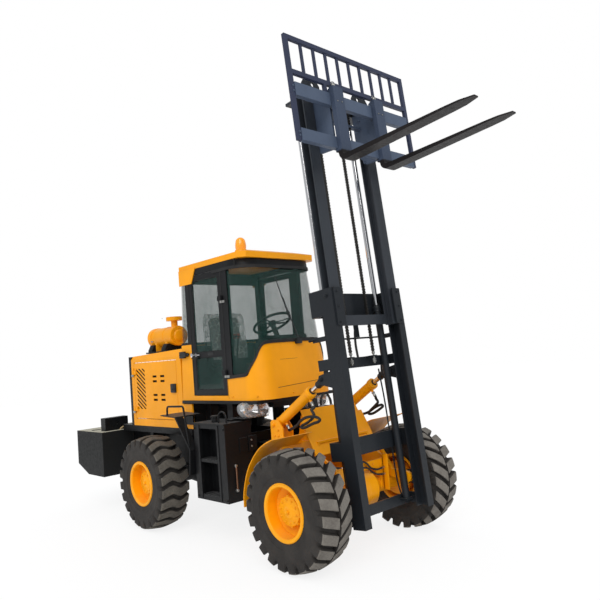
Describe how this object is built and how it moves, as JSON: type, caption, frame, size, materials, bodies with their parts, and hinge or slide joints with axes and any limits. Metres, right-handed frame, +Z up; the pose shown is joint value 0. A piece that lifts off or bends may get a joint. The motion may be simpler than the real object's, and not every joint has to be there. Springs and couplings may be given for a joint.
{
  "type": "forklift truck",
  "caption": "Diesel rough-terrain forklift with an articulated frame, enclosed cab, rear counterweight and a raised two-stage mast with side-shift-free fork carriage.",
  "frame": {"origin": "on the ground, under the middle of the machine's width and length, fork tips included", "axes": "+Z up, -Y the direction of travel with the forks ahead, +X the machine's left"},
  "size_m": [1.7772, 5.8292, 4.3291],
  "materials": {
    "amber": "clear",
    "cast": "matt",
    "chrome": "polished",
    "frame_paint": "semi-gloss",
    "glass": "clear",
    "mast_paint": "semi-gloss",
    "plastic": "matt",
    "seat": "matt",
    "steel": "bare",
    "tyre": "matt",
    "yellow_paint": "gloss"
  },
  "bodies": {
    "rear_frame": {"rear_chassis": "frame_paint", "counterweight": "frame_paint", "lifting_blocks": "frame_paint", "rear_axle": "frame_paint", "engine_block": "cast", "engine_hood": "yellow_paint", "radiator_grille": "frame_paint", "air_cleaner": "yellow_paint", "cab_base": "frame_paint", "cab_shell": "yellow_paint", "cab_frame": "frame_paint", "cab_roof": "yellow_paint", "beacon": "amber", "windscreen": "glass", "rear_windows": "glass", "driver_seat": "seat", "steering_console": "plastic", "control_levers": "plastic", "side_tanks": "frame_paint", "rear_guards": "frame_paint", "headlights": "frame_paint", "door_hinges": "steel"},
    "left_cab_door": {"left_cab_door": "frame_paint", "left_cab_door_glass": "glass"},
    "right_cab_door": {"right_cab_door": "frame_paint", "right_cab_door_glass": "glass"},
    "left_engine_door": {"left_engine_door": "yellow_paint"},
    "right_engine_door": {"right_engine_door": "yellow_paint"},
    "front_frame": {"front_chassis": "yellow_paint", "front_axle": "yellow_paint", "front_fenders": "yellow_paint"},
    "left_front_wheel": {"left_front_tyre": "tyre", "left_front_rim": "yellow_paint"},
    "right_front_wheel": {"right_front_tyre": "tyre", "right_front_rim": "yellow_paint"},
    "left_rear_wheel": {"left_rear_tyre": "tyre", "left_rear_rim": "yellow_paint"},
    "right_rear_wheel": {"right_rear_tyre": "tyre", "right_rear_rim": "yellow_paint"},
    "mast": {"outer_mast": "mast_paint", "lift_barrels": "mast_paint"},
    "inner_mast": {"inner_mast": "mast_paint", "lift_rods": "chrome"},
    "carriage": {"carriage": "mast_paint", "load_backrest": "mast_paint", "forks": "mast_paint"},
    "left_tilt_barrel": {"left_tilt_barrel": "yellow_paint"},
    "left_tilt_rod": {"left_tilt_rod": "chrome"},
    "right_tilt_barrel": {"right_tilt_barrel": "yellow_paint"},
    "right_tilt_rod": {"right_tilt_rod": "chrome"},
    "left_steer_barrel": {"left_steer_barrel": "frame_paint"},
    "left_steer_rod": {"left_steer_rod": "chrome"},
    "right_steer_barrel": {"right_steer_barrel": "frame_paint"},
    "right_steer_rod": {"right_steer_rod": "chrome"}
  },
  "joints": [
    {"name": "steer", "type": "hinge", "parent": "rear_frame", "child": "front_frame", "pos_m": [0, -0.07843, 0.625], "axis": [0, 0, 1], "range_deg": [-30, 30]},
    {"name": "mast_tilt", "type": "hinge", "parent": "front_frame", "child": "mast", "pos_m": [0, -1.48193, 0.5495], "axis": [1, 0, 0], "range_deg": [-5.22, 10.78]},
    {"name": "inner_lift", "type": "slide", "parent": "mast", "child": "inner_mast", "axis": [0, 0.0833, 0.9965], "range_m": [-1.6, 0]},
    {"name": "carriage_lift", "type": "slide", "parent": "inner_mast", "child": "carriage", "axis": [0, 0.0833, 0.9965], "range_m": [-1.6, 0]},
    {"name": "left_front_wheel_spin", "type": "hinge", "parent": "front_frame", "child": "left_front_wheel", "pos_m": [0.723, -1.21843, 0.485], "axis": [1, 0, 0], "continuous": true},
    {"name": "left_rear_wheel_spin", "type": "hinge", "parent": "rear_frame", "child": "left_rear_wheel", "pos_m": [0.723, 1.06157, 0.485], "axis": [1, 0, 0], "continuous": true},
    {"name": "left_tilt_barrel_pivot", "type": "hinge", "parent": "front_frame", "child": "left_tilt_barrel", "pos_m": [0.41, -0.70843, 1.105], "axis": [1, 0, 0], "range_deg": [-3, 6]},
    {"name": "left_tilt_rod_slide", "type": "slide", "parent": "left_tilt_barrel", "child": "left_tilt_rod", "axis": [0, -0.8495, 0.5276], "range_m": [-0.08, 0.165]},
    {"name": "left_steer_barrel_pivot", "type": "hinge", "parent": "rear_frame", "child": "left_steer_barrel", "pos_m": [0.2, 0.42157, 0.635], "axis": [0, 0, 1], "range_deg": [-8, 8]},
    {"name": "left_steer_rod_slide", "type": "slide", "parent": "left_steer_barrel", "child": "left_steer_rod", "axis": [-0.034, -0.9994, 0], "range_m": [-0.1, 0.1]},
    {"name": "left_cab_door_swing", "type": "hinge", "parent": "rear_frame", "child": "left_cab_door", "pos_m": [0.514, -0.08843, 1.925], "axis": [0, 0, -1], "range_deg": [0, 80]},
    {"name": "left_engine_door_swing", "type": "hinge", "parent": "rear_frame", "child": "left_engine_door", "pos_m": [0.514, 1.78157, 1.425], "axis": [0, 0, 1], "range_deg": [0, 110]},
    {"name": "right_front_wheel_spin", "type": "hinge", "parent": "front_frame", "child": "right_front_wheel", "pos_m": [-0.723, -1.21843, 0.485], "axis": [1, 0, 0], "continuous": true},
    {"name": "right_rear_wheel_spin", "type": "hinge", "parent": "rear_frame", "child": "right_rear_wheel", "pos_m": [-0.723, 1.06157, 0.485], "axis": [1, 0, 0], "continuous": true},
    {"name": "right_tilt_barrel_pivot", "type": "hinge", "parent": "front_frame", "child": "right_tilt_barrel", "pos_m": [-0.41, -0.70843, 1.105], "axis": [1, 0, 0], "range_deg": [-3, 6]},
    {"name": "right_tilt_rod_slide", "type": "slide", "parent": "right_tilt_barrel", "child": "right_tilt_rod", "axis": [0, -0.8495, 0.5276], "range_m": [-0.08, 0.165]},
    {"name": "right_steer_barrel_pivot", "type": "hinge", "parent": "rear_frame", "child": "right_steer_barrel", "pos_m": [-0.2, 0.42157, 0.635], "axis": [0, 0, 1], "range_deg": [-8, 8]},
    {"name": "right_steer_rod_slide", "type": "slide", "parent": "right_steer_barrel", "child": "right_steer_rod", "axis": [0.034, -0.9994, 0], "range_m": [-0.1, 0.1]},
    {"name": "right_cab_door_swing", "type": "hinge", "parent": "rear_frame", "child": "right_cab_door", "pos_m": [-0.514, -0.08843, 1.925], "axis": [0, 0, 1], "range_deg": [0, 80]},
    {"name": "right_engine_door_swing", "type": "hinge", "parent": "rear_frame", "child": "right_engine_door", "pos_m": [-0.514, 1.78157, 1.425], "axis": [0, 0, -1], "range_deg": [0, 110]}
  ],
  "couplings": [
    {"joint": "carriage_lift", "follows": "inner_lift", "ratio": 1},
    {"joint": "left_tilt_barrel_pivot", "follows": "mast_tilt", "ratio": 0.508},
    {"joint": "left_tilt_rod_slide", "follows": "mast_tilt", "m_per_rad": 0.87},
    {"joint": "left_steer_barrel_pivot", "follows": "steer", "ratio": 0.243},
    {"joint": "left_steer_rod_slide", "follows": "steer", "m_per_rad": -0.18},
    {"joint": "right_tilt_barrel_pivot", "follows": "mast_tilt", "ratio": 0.508},
    {"joint": "right_tilt_rod_slide", "follows": "mast_tilt", "m_per_rad": 0.87},
    {"joint": "right_steer_barrel_pivot", "follows": "steer", "ratio": 0.243},
    {"joint": "right_steer_rod_slide", "follows": "steer", "m_per_rad": 0.18}
  ]
}
